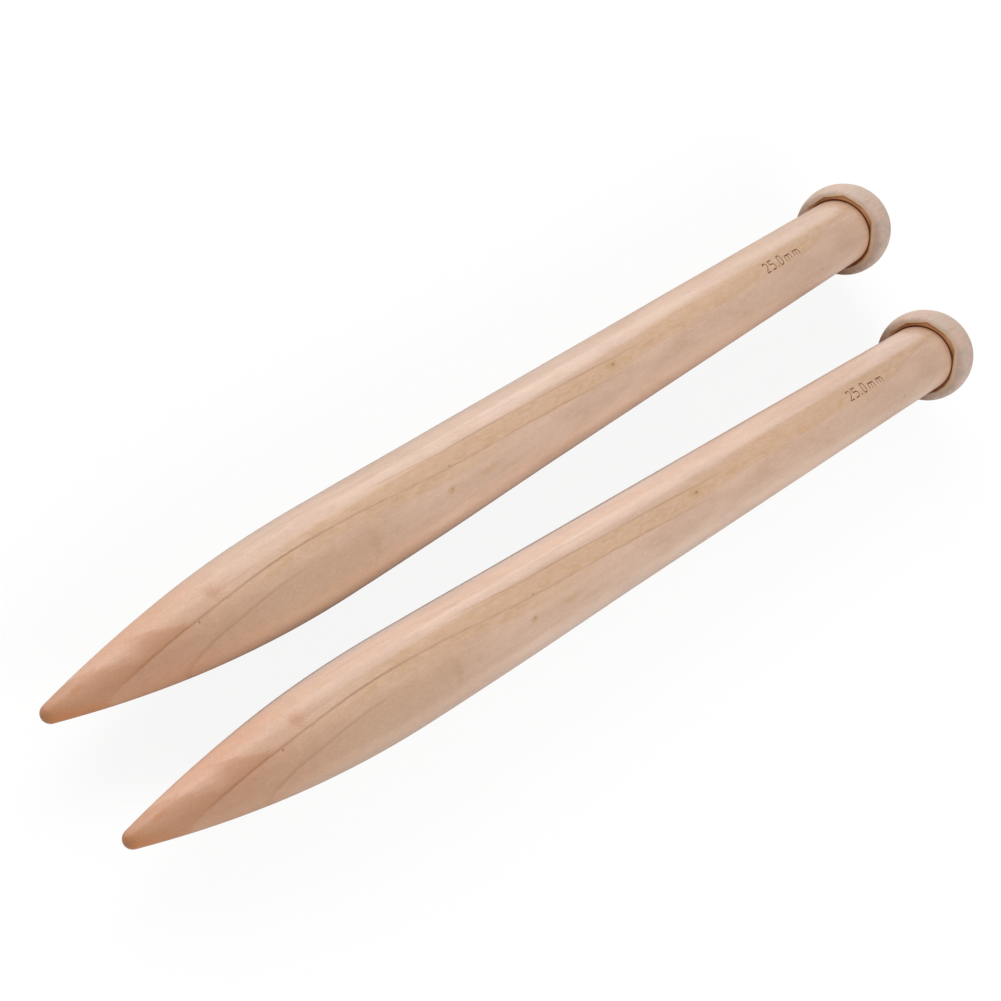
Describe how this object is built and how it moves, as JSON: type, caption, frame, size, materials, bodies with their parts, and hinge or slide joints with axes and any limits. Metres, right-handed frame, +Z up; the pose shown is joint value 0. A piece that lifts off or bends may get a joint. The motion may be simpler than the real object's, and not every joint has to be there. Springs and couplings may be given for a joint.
{
  "type": "straight knitting needles",
  "caption": "Pair of thick straight wooden knitting needles: plain round shafts with long rounded tips and glued-on turned ball caps that stop the stitches.",
  "frame": {"origin": "on the surface that the needles lie on, under the middle of the pair's bounding box", "axes": "+Z up; the needles lie along X with their tips towards -X and their end caps towards +X; the left needle is at +Y and the right one at -Y, as seen from the tips"},
  "size_m": [0.4014, 0.0908, 0.0345],
  "materials": {
    "shaft_wood": "sanded hardwood under a thin clear satin coat, fine straight grain with pale and tan bands",
    "cap_wood": "turned hardwood, sanded and nearly matt, greyer than the shaft",
    "glue": "cured amber-brown wood glue, slightly glossy"
  },
  "bodies": {
    "left_needle": {"left_needle_shaft": "shaft_wood", "left_needle_end_cap": "cap_wood", "left_needle_cap_glue": "glue"},
    "right_needle": {"right_needle_shaft": "shaft_wood", "right_needle_end_cap": "cap_wood", "right_needle_cap_glue": "glue"}
  },
  "joints": [
    {"name": "right_needle_lift", "type": "slide", "parent": "left_needle", "child": "right_needle", "axis": [0, 0, 1], "range_m": [0, 0.15]}
  ]
}
